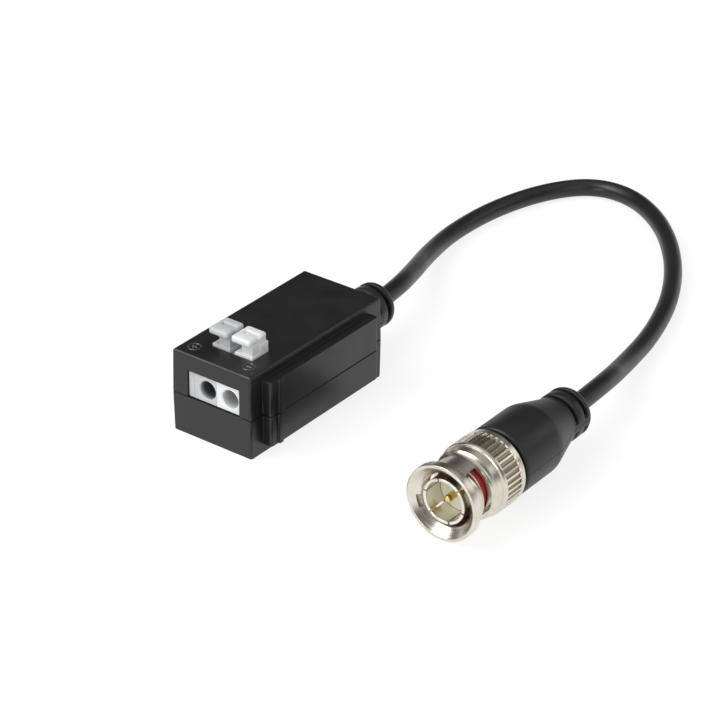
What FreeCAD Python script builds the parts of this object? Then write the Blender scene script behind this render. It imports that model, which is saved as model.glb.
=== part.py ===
import FreeCAD, Part
import math
import os

from FreeCAD import Vector

os.makedirs("parts", exist_ok=True)

# Video balun on a coaxial pigtail. Millimetres. +Z is up, the wire entries face -Y, and the origin
# is the centre of the housing's base.

# Housing
housing_width = 18.0
housing_length = 37.8
housing_height = 16.4
parting_height = 7.8
wall = 1.4
base_draft = 0.1
top_draft = 0.15
corner_round = 0.4
top_chamfer = 0.3
lip_height = 1.0
lip_thickness = 0.6
lip_clearance = 0.1

# Grip rail on the right side wall
rail_depth = 1.9
rail_front_inset = 3.3
rail_rear_inset = 3.7
rail_base = 1.8
rail_top_inset = 1.75
rail_round = 0.5
bead_inset = 1.9
bead_width = 1.1
bead_height = 0.35

# Screwless terminal modules, counted from the right
module_pitch = 5.08
module_side_inset = 3.0
end_plate = 1.17
module_length = 10.0
module_gap = 0.04
nose_recess = 0.45
nose_top = 13.0
nose_lift = 0.12
opening_margin = 0.1
opening_right_margin = 0.3
opening_depth = 1.9
front_clearance = 0.05
wire_bore_radius = 1.75
wire_bore_height = 10.35
wire_bore_inset = 2.05
wire_bore_length = 4.4
wire_mouth_flare = 0.2
chamber_floor = 6.4
chamber_length = 5.4
chamber_width = 3.3
deck_drop = 0.5
deck_margin = 0.2

# Push buttons
button_inset = 1.0
button_width = 3.95
button_length = 4.6
button_front = 5.4
button_proud = 0.4
button_depth = 2.6
button_travel = 1.2
button_clearance = 0.1
neck_offset = 0.55
neck_width = 2.5
neck_length = 3.85
cap_width = 4.25
cap_length = 5.0
cap_height = 3.8
cap_thickness = 1.35
cap_round = 0.5
cap_shift = -0.25
cap_setback = -0.4
neck_inset = 0.35
slot_place = 0.56
slot_width = 0.6
slot_depth = 0.5
slot_inset = 0.8
cheek_width = 0.8
cheek_length = 2.4
cheek_height = 2.0

# Clamp parts inside each module
strip_thickness = 0.3
strip_width = 2.4
contact_thickness = 0.4
contact_width = 2.8
pin_width = 0.8
pin_reach = 1.0
pin_clearance = 0.1
contact_setback = 0.2
contact_lift = 0.05
ledge_drop = 0.15
ledge_inset = 0.3
spring_clearance = 0.15
spring_inset = 0.55
spring_tail = 0.9
spring_shoulder = 0.4
spring_fall = 0.6
spring_tip_back = 1.1
spring_tip_lift = 0.15
spring_rear_gap = 0.35

# Circuit board, notched over tongues on the lower shell's ledges
board_thickness = 1.2
board_side_gap = 0.4
board_front_gap = 0.9
board_rear_gap = 2.1
board_lift = 2.0
notch_depth = 0.9
tongue_width = 1.4
tongue_clearance = 0.1
tongue_reach = 0.5
ledge_width = 2.4
ledge_depth = 1.7
front_ledge_gap = 2.85
rear_ledge_gap = 1.6
rib_inset = 1.4
rib_width = 1.0
hold_down_depth = 1.0
hold_down_width = 1.6
hold_down_gap = 11.55
hold_down_clearance = 0.05

# Chips on the board, as length along Y, width and height
surge_size = (4.4, 2.6, 2.2)
resistor_size = (2.0, 1.25, 0.55)
resistor_pitch = 2.0
capacitor_size = (1.6, 3.2, 1.2)
capacitor_gap = 1.65
chip_gap = 0.25

# Transformer
core_radius = 4.5
core_bore = 2.3
core_height = 4.0
core_gap = 8.05
core_lift = 0.6
wire_size = 0.4
wire_clearance = 0.05
turns_each = 8
turn_step = 20.0

# Rear grommet and pigtail
cord_radius = 1.42
grommet_radius = 4.4
grommet_length = 10.9
grommet_neck = 3.6
grommet_flange = 5.0
grommet_flange_length = 1.2
grommet_clearance = 0.05
cord_clearance = 0.04
ring_slot_width = 0.9
ring_slot_depth = 1.1
ring_slot_web = 1.3
ring_slot_pitch = 2.9
ring_slot_inset = 2.6
end_round = 1.2
dielectric_radius = 0.85
tail_size = 0.5
tail_foot = 1.0
strip_back = 2.6
cord_inset = 1.2
core_reach = 0.9
braid_reach = 1.0

# Plug on the far end, measured along its axis from the front of the coupling sleeve
plug_x = 49.9
plug_front = -19.2
floor_gap = 0.05
flange_radius = 7.1
flange_length = 1.7
flange_root = 0.4
barrel_radius = 5.95
barrel_start = 2.9
shoulder_start = 6.6
shoulder_radius = 6.5
shoulder_length = 0.8
shoulder_step = 0.3
shoulder_end = 9.6
grip_radius = 6.95
grip_bevel = 0.4
flute_length = 4.3
flute_depth = 0.35
flute_count = 40
flute_share = 0.6
sleeve_length = 15.3
sleeve_bore = 5.05
mouth_radius = 5.9
mouth_length = 1.3
lug_slot_width = 2.4
lug_slot_radius = 5.7
lug_slot_length = 4.2
lug_slot_turn = 20.0
window_start = 3.4
window_end = 6.5
window_span = 80.0
window_turn = 18.0
contact_front = 0.8
contact_radius = 4.25
contact_bore = 3.7
contact_slit = 0.25
contact_slit_length = 5.6
contact_slits = 3
contact_slit_turn = 47.0
flange_start = 7.95
flange_end = 9.3
body_flange_radius = 4.85
shank_radius = 4.4
running_clearance = 0.05
shank_end = 17.2
stem_radius = 2.2
stem_bore = 1.3
stem_end = 22.0
insulator_front = 5.0
insulator_end = 15.4
insulator_clearance = 0.04
pin_radius = 0.67
pin_seat_radius = 1.0
pin_tip_flat = 0.3
pin_tip_radius = 0.48
pin_tip_length = 0.35
pin_neck_length = 1.0
pin_front = 1.7
pin_end = 15.0
gasket_length = 1.0
gasket_radius = 4.8
washer_thickness = 0.25
washer_wave = 0.3
washer_waves = 3
washer_steps = 12
washer_gap = 0.2
sleeve_travel = 0.8
thrust_length = 0.8
ferrule_wall = 0.35
ferrule_end = 24.5
plug_cord_gap = 0.6
jacket_gap = 0.4
boot_start = 16.0
boot_radius = 6.75
boot_rim = 0.4
boot_taper_start = 26.0
boot_neck_start = 33.3
boot_neck_radius = 4.65
boot_end = 39.4

# Pigtail route from the grommet to the plug boot, laid along the floor in one open loop
floor_clearance = 0.08
cord_rest = cord_radius + floor_clearance
front_y = -housing_length / 2
rear_y = housing_length / 2
plug_height = flange_radius + floor_gap
cord_route = [
    (0.0, rear_y + grommet_length, parting_height),
    (0.0, rear_y + grommet_length + 7.4, parting_height),
    (-3.2, 47.0, 5.9),
    (-9.4, 59.0, 3.1),
    (-14.8, 72.2, cord_rest),
    (-16.4, 85.6, cord_rest),
    (-12.9, 97.6, cord_rest),
    (-3.8, 107.6, cord_rest),
    (8.6, 109.4, cord_rest),
    (20.6, 102.2, cord_rest),
    (31.0, 89.4, cord_rest),
    (38.4, 74.4, cord_rest),
    (43.8, 58.6, cord_rest),
    (47.6, 44.6, 3.3),
    (plug_x, plug_front + boot_end + 11.2, plug_height),
    (plug_x, plug_front + boot_end, plug_height),
]


def box(x0, x1, y0, y1, z0, z1):
    """Block between two x places in either order, and rising y and z places."""
    return Part.makeBox(abs(x1 - x0), y1 - y0, z1 - z0, Vector(min(x0, x1), y0, z0))


def rod(radius, start, end):
    a = Vector(*start)
    b = Vector(*end)
    return Part.makeCylinder(radius, (b - a).Length, a, b - a)


def drafted_block(low_inset, high_inset, z0, z1):
    """Housing-sized block whose sides lean in by the two insets at its base and its top."""
    half_x, half_y = housing_width / 2, housing_length / 2
    block = Part.makeWedge(
        low_inset - half_x, z0, low_inset - half_y, high_inset - half_y, high_inset - half_x,
        half_x - low_inset, z1, half_y - low_inset, half_y - high_inset, half_x - high_inset,
    )
    block.rotate(Vector(0, 0, 0), Vector(1, 0, 0), 90)
    upright = [e for e in block.Edges if abs(e.Vertexes[0].Z - e.Vertexes[1].Z) > (z1 - z0) / 2]
    return block.makeFillet(corner_round, upright)


def inner_block(inset, z0, z1):
    return box(
        -housing_width / 2 + inset, housing_width / 2 - inset, front_y + inset, rear_y - inset, z0, z1
    )


def turned(points, x=plug_x, z=plug_height, y=plug_front):
    """Solid turned about an axis along Y from (distance along the axis, radius) points."""
    corners = [Vector(x + r, y + s, z) for s, r in points]
    face = Part.Face(Part.makePolygon(corners + corners[:1]))
    return face.revolve(Vector(x, y, z), Vector(0, 1, 0), 360)


def round_plug_axis(shape, angle):
    """The shape turned about the plug's axis, with the angle counted from +X towards +Z."""
    shape.rotate(Vector(plug_x, 0, plug_height), Vector(0, 1, 0), -angle)
    return shape


def sector(radius, middle, span, y0, y1):
    """Wedge about the plug's axis whose middle is at an angle counted from +X towards +Z."""
    axis = Vector(plug_x, y0, plug_height)
    rim = []
    for share in (-0.5, 0, 0.5):
        angle = math.radians(middle + share * span)
        rim.append(axis + Vector(radius * math.cos(angle), 0, radius * math.sin(angle)))
    edges = [
        Part.LineSegment(axis, rim[0]).toShape(),
        Part.Arc(*rim).toShape(),
        Part.LineSegment(rim[2], axis).toShape(),
    ]
    return Part.Face(Part.Wire(edges)).extrude(Vector(0, y1 - y0, 0))


def folded_strip(points, thickness, x0, x1):
    """Strip of constant thickness along a bent line in the YZ plane, with mitred bends."""
    line = [Vector(0, y, z) for y, z in points]
    sides = []
    for i, p in enumerate(line):
        before = (p - line[i - 1]).normalize() if i > 0 else None
        after = (line[i + 1] - p).normalize() if i < len(line) - 1 else None
        along = before if after is None else after if before is None else (before + after).normalize()
        across = Vector(0, -along.z, along.y)
        widen = thickness / 2 / max(0.5, along.dot(before or after))
        sides.append((p + across * widen, p - across * widen))
    ring = [a for a, _ in sides] + [b for _, b in reversed(sides)]
    corners = [Vector(x0, p.y, p.z) for p in ring]
    return Part.Face(Part.makePolygon(corners + corners[:1])).extrude(Vector(x1 - x0, 0, 0))


def rounded_end(end, radius):
    """Profile of a rounded end, as two chamfers that meet at the middle of its arc."""
    k = end_round * (1 - math.sqrt(0.5))
    return [(end - end_round, radius), (end - k, radius - k), (end, radius - end_round)]


def ring_slots(x, z, radius, last, count):
    """Ring grooves round an axis along Y, each left uncut in a web at both sides of the mould line."""
    cuts = []
    for i in range(count):
        y = last - i * ring_slot_pitch
        ring = rod(radius + 1, (x, y, z), (x, y + ring_slot_width, z))
        ring = ring.cut(rod(radius - ring_slot_depth, (x, y, z), (x, y + ring_slot_width, z)))
        low = z - ring_slot_web / 2
        web = box(x - radius - 1, x + radius + 1, y, y + ring_slot_width, low, low + ring_slot_web)
        cuts.append(ring.cut(web))
    return cuts


def save(name, shape):
    shape.exportStep(f"parts/{name}.step")


# Places shared by the housing, the board and the terminal
inner_x = housing_width / 2 - wall
rail_x = housing_width / 2 + rail_depth
rail_y0 = front_y + rail_front_inset
rail_y1 = rear_y - rail_rear_inset
rail_z1 = housing_height - rail_top_inset
module_right = housing_width / 2 - module_side_inset
module_left = module_right - 2 * module_pitch - end_plate
body_front = front_y + wall + front_clearance
body_rear = body_front + module_length
board_bottom = wall + board_lift
board_top = board_bottom + board_thickness
board_x = inner_x - board_side_gap
board_front = front_y + wall + board_front_gap
board_rear = rear_y - wall - board_rear_gap
ledge_ys = (body_rear + front_ledge_gap, board_rear - rear_ledge_gap)
button_y0 = front_y + button_front
button_y1 = button_y0 + button_length


def side_rail(z0, z1):
    """Raised rail on the right wall between two heights, with rounded outer edges and its bead."""
    blank = box(housing_width / 2 - wall / 2, rail_x, rail_y0, rail_y1, z0, z1)
    outer = [
        e for e in blank.Edges
        if all(abs(v.X - rail_x) < 1e-6 for v in e.Vertexes)
        and abs(e.Vertexes[0].Z - e.Vertexes[1].Z) > 1e-6
    ]
    blank = blank.makeFillet(rail_round, outer)
    bead_y = rail_y0 + bead_inset
    bead = box(housing_width / 2, rail_x + bead_height, bead_y, bead_y + bead_width, z0, z1)
    return blank.fuse(bead)


# Upper housing shell
terminal_opening = box(
    module_left - opening_margin, module_right + opening_right_margin, front_y - 1, front_y + opening_depth,
    parting_height - lip_height, nose_top + opening_margin,
)
button_opening = box(
    module_right - module_pitch - button_inset - button_width - deck_margin,
    module_right - button_inset + deck_margin,
    button_y0 - deck_margin, button_y1 + deck_margin, housing_height - 2 * wall, housing_height + 1,
)
rear_hole_radius = grommet_neck + grommet_clearance
rear_hole = rod(rear_hole_radius, (0, rear_y - 2 * wall, parting_height), (0, rear_y + 1, parting_height))
rebate_inset = wall - lip_thickness - lip_clearance
rebate = inner_block(rebate_inset, parting_height, parting_height + lip_height + lip_clearance)
upper = drafted_block(0, top_draft, parting_height, housing_height)
top_edges = [e for e in upper.Edges if all(abs(v.Z - housing_height) < 1e-6 for v in e.Vertexes)]
upper = upper.makeChamfer(top_chamfer, top_edges)
upper = upper.fuse(side_rail(parting_height, rail_z1))
upper = upper.cut(inner_block(wall, parting_height - 1, housing_height - wall))
upper = upper.cut([rebate, terminal_opening, button_opening, rear_hole])
hold_down_y0 = body_rear + hold_down_gap
hold_downs = [
    box(
        side * (inner_x - lip_clearance), side * (board_x - hold_down_depth),
        hold_down_y0, hold_down_y0 + hold_down_width,
        board_top + hold_down_clearance, housing_height - wall / 2,
    )
    for side in (-1, 1)
]
save("upper_shell", upper.fuse(hold_downs).removeSplitter())

# Lower housing shell, with the lip that enters the upper one and the ledges that carry the board
lower = drafted_block(base_draft, 0, 0, parting_height)
lower = lower.fuse(side_rail(rail_base, parting_height))
lip_inset = wall - lip_thickness
lower = lower.fuse(inner_block(lip_inset, parting_height - wall / 2, parting_height + lip_height))
lower = lower.cut(inner_block(wall, wall, housing_height))
lip_notch = box(
    module_left - opening_margin - wall, module_right + opening_right_margin + wall, front_y,
    front_y + 2 * wall, parting_height, parting_height + 2 * lip_height,
)
lower = lower.cut([lip_notch, rear_hole])
rib_x = board_x - ledge_width
rib_y0 = board_front + rib_inset
ribs = [box(-rib_x, rib_x, rib_y0, rib_y0 + rib_width, wall / 2, board_bottom)]
tongue_x = board_x - notch_depth + tongue_clearance
for side in (-1, 1):
    for y in ledge_ys:
        outer = side * (inner_x + wall / 4)
        ledge = side * (board_x - ledge_depth)
        half = ledge_width / 2
        ribs.append(box(outer, ledge, y - half, y + half, wall / 2, board_bottom))
        half = tongue_width / 2
        ribs.append(box(outer, side * tongue_x, y - half, y + half, wall / 2, board_top + tongue_reach))
save("lower_shell", lower.fuse(ribs).removeSplitter())

# Terminal modules, each with its wire bore, clamp chamber and button well
module_rights = {"right": module_right, "left": module_right - module_pitch}
bore_x = {side: right - wire_bore_inset for side, right in module_rights.items()}
bore_z = wire_bore_height
bore_bottom = bore_z - wire_bore_radius
chamber_y0 = front_y + nose_recess + wire_bore_length
chamber_y1 = chamber_y0 + chamber_length
contact_y = chamber_y1 - contact_setback
body_top = housing_height - wall - opening_margin
well_floor = housing_height - button_depth - button_travel - spring_clearance


def pin_slot(x, z0, z1):
    """Slot that a contact's solder pin passes through."""
    half = pin_width / 2 + pin_clearance
    return box(
        x - half, x + half, contact_y - contact_thickness - pin_clearance, contact_y + pin_clearance, z0, z1
    )


def terminal_module(side):
    right = module_rights[side]
    left = right - module_pitch + module_gap
    outer_left = module_left if side == "left" else left
    body = box(outer_left, right, body_front, body_rear, board_top, body_top)
    nose_front = front_y + nose_recess
    nose = box(outer_left, right, nose_front, body_front + 1, parting_height + nose_lift, nose_top)
    button_right = right - button_inset
    button_left = button_right - button_width
    solid = body.fuse(nose)
    if side == "left":
        solid = solid.fuse(box(
            button_right + button_clearance, right, button_y0 - opening_margin, button_y1 + opening_margin,
            body_top - 1, housing_height - deck_drop,
        ))
    x = bore_x[side]
    bore = rod(wire_bore_radius, (x, front_y, bore_z), (x, chamber_y0 + 0.1, bore_z))
    mouth = Part.makeCone(
        wire_bore_radius + wire_mouth_flare, wire_bore_radius, wire_mouth_flare,
        Vector(x, nose_front, bore_z), Vector(0, 1, 0),
    )
    half = chamber_width / 2
    chamber = box(x - half, x + half, chamber_y0, chamber_y1, chamber_floor, well_floor + 0.1)
    well = box(
        left - 1 if side == "right" else button_left - button_clearance, button_right + button_clearance,
        button_y0 - button_clearance, button_y1 + button_clearance, well_floor, housing_height + 1,
    )
    pin_way = pin_slot(x, board_top - 1, chamber_floor + 1)
    return solid.cut([bore, mouth, chamber, well, pin_way]).removeSplitter()


def contact_bar(side):
    """Tinned contact: an upright with its solder pin below and the ledge that the wire is pressed on."""
    x = bore_x[side]
    half = contact_width / 2
    back = contact_y - contact_thickness
    foot = chamber_floor + contact_lift
    ledge_top = bore_bottom - ledge_drop
    upright = box(x - half, x + half, back, contact_y, foot, bore_z)
    ledge_y = chamber_y0 + ledge_inset
    ledge = box(x - half, x + half, ledge_y, contact_y, ledge_top - contact_thickness, ledge_top)
    pin = box(x - pin_width / 2, x + pin_width / 2, back, contact_y, board_bottom - pin_reach, foot)
    return upright.fuse([ledge, pin]).removeSplitter()


def clamp_spring(side):
    """Bent clamp strip whose tongue slants back and down on to the contact's ledge."""
    x = bore_x[side]
    top = well_floor - strip_thickness / 2 - spring_clearance
    front = chamber_y0 + spring_inset
    rear = contact_y - contact_thickness - spring_rear_gap
    path = [
        (rear, top - spring_tail),
        (rear, top),
        (front + spring_shoulder, top),
        (front, top - spring_fall),
        (rear - spring_tip_back, bore_bottom + spring_tip_lift),
    ]
    return folded_strip(path, strip_thickness, x - strip_width / 2, x + strip_width / 2)


def push_button(side):
    """Button with a block guided in the well, an offset neck and an overhanging cap with a slot."""
    right = module_rights[side] - button_inset
    left = right - button_width
    centre = (left + right) / 2
    plate_top = housing_height + button_proud
    block = box(left, right, button_y0, button_y1, housing_height - button_depth, plate_top)
    cap_y = (button_y0 + button_y1) / 2 + cap_setback
    cap_top = housing_height + cap_height
    cap_left = centre + cap_shift - cap_width / 2
    cap_right = cap_left + cap_width
    cap_low = cap_top - cap_thickness
    cap = box(cap_left, cap_right, cap_y - cap_length / 2, cap_y + cap_length / 2, cap_low, cap_top)
    lips = [
        e for e in cap.Edges
        if abs(e.Vertexes[0].Y - e.Vertexes[1].Y) < 1e-6 and abs(e.Vertexes[0].Z - e.Vertexes[1].Z) < 1e-6
    ]
    cap = cap.makeFillet(cap_round, lips)
    slot_y = cap_y + cap_length * (slot_place - 0.5)
    slot = box(
        cap_left + slot_inset, cap_right + 1, slot_y - slot_width / 2, slot_y + slot_width / 2,
        cap_top - slot_depth, cap_top + 1,
    )
    neck_x = centre + neck_offset
    neck_y = button_y0 + neck_inset
    neck = box(
        neck_x - neck_width / 2, neck_x + neck_width / 2, neck_y, neck_y + neck_length,
        plate_top, cap_low,
    )
    cheek_top = housing_height + cheek_height
    cheek = box(right - cheek_width, right, button_y1 - cheek_length, button_y1, plate_top, cheek_top)
    return cap.cut(slot).fuse([neck, cheek, block]).removeSplitter()


for side in ("left", "right"):
    save(f"terminal_module_{side}", terminal_module(side))
    save(f"contact_bar_{side}", contact_bar(side))
    save(f"clamp_spring_{side}", clamp_spring(side))
    save(f"push_button_{side}", push_button(side))

# Circuit board
board = box(-board_x, board_x, board_front, board_rear, board_bottom, board_top)
notches = []
for side in (-1, 1):
    for y in ledge_ys:
        half = tongue_width / 2 + tongue_clearance
        depth = side * (board_x - notch_depth)
        notches.append(box(side * inner_x, depth, y - half, y + half, board_bottom - 1, board_top + 1))
pin_slots = [pin_slot(x, board_bottom - 1, board_top + 1) for x in bore_x.values()]
save("circuit_board", board.cut(notches + pin_slots))

# Transformer core and its two windings
core_y = body_rear + core_gap
core_z = board_top + core_lift
core_foot = Vector(0, core_y, core_z)
core = Part.makeCylinder(core_radius, core_height, core_foot)
core = core.cut(Part.makeCylinder(core_bore, core_height, core_foot))
save("transformer_core", core)


def turn_of_wire(angle):
    """One square-cornered turn of wire round the core's section, turned to its place."""
    near, far = core_bore - wire_clearance, core_radius + wire_clearance
    low, high = core_z - wire_clearance, core_z + core_height + wire_clearance
    half = wire_size / 2
    outer = box(near - wire_size, far + wire_size, -half, half, low - wire_size, high + wire_size)
    ring = outer.cut(box(near, far, -wire_size, wire_size, low, high))
    ring.rotate(Vector(0, 0, 0), Vector(0, 0, 1), angle)
    ring.translate(Vector(0, core_y, 0))
    return ring


for name, middle in (("winding_line_side", 180.0), ("winding_coax_side", 0.0)):
    first = middle - turn_step * (turns_each - 1) / 2
    save(name, Part.makeCompound([turn_of_wire(first + i * turn_step) for i in range(turns_each)]))


# Small parts soldered to the board, between the core and the rear ledges
def chip(x, y, size):
    length, width, height = size
    return box(x - width / 2, x + width / 2, y - length / 2, y + length / 2, board_top, board_top + height)


core_rear = core_y + core_radius + wire_clearance + wire_size
chips_y = (core_rear + ledge_ys[1] - tongue_width / 2) / 2
surge_x = surge_size[1] / 2 + chip_gap - tongue_x
save("surge_suppressor", chip(surge_x, chips_y, surge_size))
outer_resistor = tongue_x - chip_gap - resistor_size[1] / 2
save("chip_resistors", Part.makeCompound(
    [chip(x, chips_y, resistor_size) for x in (outer_resistor - resistor_pitch, outer_resistor)]
))
save("chip_capacitor", chip(0.0, body_rear + capacitor_gap, capacitor_size))

# Rear grommet, clamped between the shells
inside = -wall - grommet_clearance
cord_bore = cord_radius + cord_clearance
grommet = turned([
    (inside - grommet_flange_length, cord_bore), (inside - grommet_flange_length, grommet_flange),
    (inside, grommet_flange), (inside, grommet_neck), (grommet_clearance, grommet_neck),
    (grommet_clearance, grommet_radius), *rounded_end(grommet_length, grommet_radius),
    (grommet_length, cord_bore),
], 0, parting_height, rear_y)
grommet_end = rear_y + grommet_length
grommet = grommet.cut(ring_slots(0, parting_height, grommet_radius, grommet_end - ring_slot_inset, 3))
save("cord_grommet", grommet.removeSplitter())

# Stripped end of the pigtail inside the housing, its core and braid bent down to pads on the board
cord_end_y = rear_y - wall - grommet_flange_length - cord_inset
core_drop_y = cord_end_y - strip_back - core_reach
braid_drop_y = cord_end_y - braid_reach
braid_x = cord_radius - 0.9 * tail_size
pad_z = board_top + tail_size / 2


def tail(x, start_y, drop_y):
    """Wire of square section that runs forward, bends down and ends on a pad."""
    path = [
        (start_y, parting_height), (drop_y, parting_height), (drop_y, pad_z), (drop_y - tail_foot, pad_z)
    ]
    return folded_strip(path, tail_size, x - tail_size / 2, x + tail_size / 2)


jacket = rod(cord_radius, (0, cord_end_y, parting_height), (0, grommet_end, parting_height))
stripped_y = cord_end_y - strip_back
dielectric = rod(dielectric_radius, (0, stripped_y, parting_height), (0, cord_end_y + 1, parting_height))
tails = [tail(0.0, cord_end_y - 1, core_drop_y), tail(braid_x, cord_end_y + 1, braid_drop_y)]
save("cord_inner_end", jacket.fuse([dielectric] + tails).removeSplitter())


# Pigtail tube: straight runs joined by tangent arcs
def cord_tube(points, radius):
    nodes = [Vector(*p) for p in points]
    edges = []
    radii = []
    start = nodes[0]
    for i in range(1, len(nodes) - 1):
        back = nodes[i - 1] - nodes[i]
        ahead = nodes[i + 1] - nodes[i]
        turn = math.pi - back.getAngle(ahead)
        trim = 0.45 * min(back.Length, ahead.Length)
        arc_radius = trim / math.tan(turn / 2)
        u = Vector(back).normalize()
        v = Vector(ahead).normalize()
        first = nodes[i] + u * trim
        last = nodes[i] + v * trim
        middle = nodes[i] + (u + v).normalize() * (arc_radius / math.cos(turn / 2) - arc_radius)
        edges.append(Part.LineSegment(start, first).toShape())
        edges.append(Part.Arc(first, middle, last).toShape())
        radii.append(round(arc_radius, 1))
        start = last
    edges.append(Part.LineSegment(start, nodes[-1]).toShape())
    path = Part.Wire(edges)
    profile = Part.Wire([Part.makeCircle(radius, nodes[0], nodes[1] - nodes[0])])
    tube = path.makePipeShell([profile], True, True)
    print("cord radii", radii)
    print("cord length", round(path.Length, 1), "volume", round(tube.Volume, 1),
          "section times length", round(math.pi * radius ** 2 * path.Length, 1))
    return tube


save("coax_cord", cord_tube(cord_route, cord_radius))

# Plug body with its slotted outer contact, turned in one piece
plug_body = turned([
    (contact_front, contact_bore), (contact_front, contact_radius), (flange_start, contact_radius),
    (flange_start, body_flange_radius), (flange_end, body_flange_radius), (flange_end, shank_radius),
    (shank_end, shank_radius), (shank_end, stem_radius), (stem_end, stem_radius), (stem_end, stem_bore),
    (insulator_end, stem_bore), (insulator_end, contact_bore),
])
slit_y = plug_front + contact_front
for i in range(contact_slits):
    slit = box(
        plug_x - contact_radius - 1, plug_x + contact_radius + 1, slit_y - 1, slit_y + contact_slit_length,
        plug_height - contact_slit / 2, plug_height + contact_slit / 2,
    )
    plug_body = plug_body.cut(round_plug_axis(slit, contact_slit_turn + 180.0 / contact_slits * i))
save("plug_body", plug_body)

insulator_bore = pin_seat_radius + insulator_clearance
insulator_radius = contact_bore - insulator_clearance
insulator_rear = insulator_end - insulator_clearance
save("plug_insulator", turned([
    (insulator_front, insulator_bore), (insulator_front, insulator_radius),
    (insulator_rear, insulator_radius), (insulator_rear, insulator_bore),
]))

pin_shaft_start = pin_front + pin_neck_length
save("centre_pin", turned([
    (pin_front, 0), (pin_front, pin_tip_flat), (pin_front + pin_tip_length, pin_tip_radius),
    (pin_shaft_start, pin_tip_radius), (pin_shaft_start, pin_radius), (insulator_front, pin_radius),
    (insulator_front, pin_seat_radius), (pin_end, pin_seat_radius), (pin_end, 0),
]))

gasket_bore = contact_radius + running_clearance
gasket_end = flange_start - running_clearance
save("sealing_gasket", turned([
    (gasket_end - gasket_length, gasket_bore), (gasket_end - gasket_length, gasket_radius),
    (gasket_end, gasket_radius), (gasket_end, gasket_bore),
]))


# Wave washer that presses the coupling's thrust ring back
def wave_ring(radius, along):
    points = []
    steps = washer_steps * washer_waves
    for i in range(steps):
        angle = 2 * math.pi * i / steps
        place = plug_front + along + washer_wave * math.sin(washer_waves * angle)
        x = plug_x + radius * math.cos(angle)
        z = plug_height + radius * math.sin(angle)
        points.append(Vector(x, place, z))
    curve = Part.BSplineCurve()
    curve.interpolate(points, PeriodicFlag=True)
    return curve.toShape()


washer_front = flange_end + washer_wave + running_clearance
washer_rear = washer_front + washer_thickness
washer_bore = shank_radius + 2 * running_clearance
rims = [
    wave_ring(washer_bore, washer_front), wave_ring(body_flange_radius, washer_front),
    wave_ring(body_flange_radius, washer_rear), wave_ring(washer_bore, washer_rear),
]
surfaces = [Part.makeRuledSurface(rims[i], rims[(i + 1) % 4]) for i in range(4)]
washer_shell = Part.Shell([f for surface in surfaces for f in surface.Faces])
washer_shell.sewShape()
washer = Part.Solid(washer_shell)
if washer.Volume < 0:
    washer.reverse()
save("wave_washer", washer)

# Thrust ring, held inside the sleeve and free to slide forward by the sleeve's travel
thrust_start = washer_rear + washer_wave + washer_gap + sleeve_travel
thrust_end = thrust_start + thrust_length
thrust_bore = shank_radius + running_clearance
thrust_radius = sleeve_bore - 2 * running_clearance
save("thrust_ring", turned([
    (thrust_start, thrust_bore), (thrust_start, thrust_radius),
    (thrust_end, thrust_radius), (thrust_end, thrust_bore),
]))

# Coupling sleeve: flange, necked barrel, stepped shoulder, fluted grip and rear rim
sleeve = turned([
    (0, mouth_radius), (0, flange_radius), (flange_length, flange_radius),
    (flange_length, barrel_radius + flange_root), (barrel_start, barrel_radius),
    (shoulder_start, barrel_radius), (shoulder_start + shoulder_length, shoulder_radius),
    (shoulder_end - shoulder_step, shoulder_radius),
    (shoulder_end, grip_radius), (sleeve_length - grip_bevel, grip_radius),
    (sleeve_length, grip_radius - grip_bevel), (sleeve_length, thrust_bore),
    (thrust_end + running_clearance, thrust_bore), (thrust_end + running_clearance, sleeve_bore),
    (mouth_length, sleeve_bore),
])
flute_half = flute_share * math.pi * grip_radius / flute_count
flute_root = plug_height + grip_radius - flute_depth
flute_y = plug_front + shoulder_end
flutes = []
for i in range(flute_count):
    corners = [
        Vector(plug_x, flute_y, flute_root),
        Vector(plug_x - 2 * flute_half, flute_y, flute_root + 2 * flute_depth),
        Vector(plug_x + 2 * flute_half, flute_y, flute_root + 2 * flute_depth),
    ]
    flute = Part.Face(Part.makePolygon(corners + corners[:1])).extrude(Vector(0, flute_length, 0))
    flutes.append(round_plug_axis(flute, 360.0 / flute_count * i))
sleeve = sleeve.cut(Part.makeCompound(flutes))
for half_turn in (0, 180):
    entry = box(
        plug_x, plug_x + lug_slot_radius, plug_front - 1, plug_front + lug_slot_length,
        plug_height - lug_slot_width / 2, plug_height + lug_slot_width / 2,
    )
    window = sector(
        grip_radius + 1, half_turn + window_turn, window_span,
        plug_front + window_start, plug_front + window_end,
    )
    sleeve = sleeve.cut([round_plug_axis(entry, half_turn + lug_slot_turn), window])
save("coupling_sleeve", sleeve)

# Crimp ferrule, the pigtail's end inside it, and the moulded boot over both
ferrule_bore = stem_radius + running_clearance
ferrule_radius = ferrule_bore + ferrule_wall
seat = shank_end + running_clearance
save("crimp_ferrule", turned([
    (seat, ferrule_bore), (seat, ferrule_radius),
    (ferrule_end, ferrule_radius), (ferrule_end, ferrule_bore),
]))

save("cord_plug_end", turned([
    (pin_end + plug_cord_gap, 0), (pin_end + plug_cord_gap, dielectric_radius),
    (stem_end + jacket_gap, dielectric_radius), (stem_end + jacket_gap, cord_radius),
    (boot_end, cord_radius), (boot_end, 0),
]))

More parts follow.
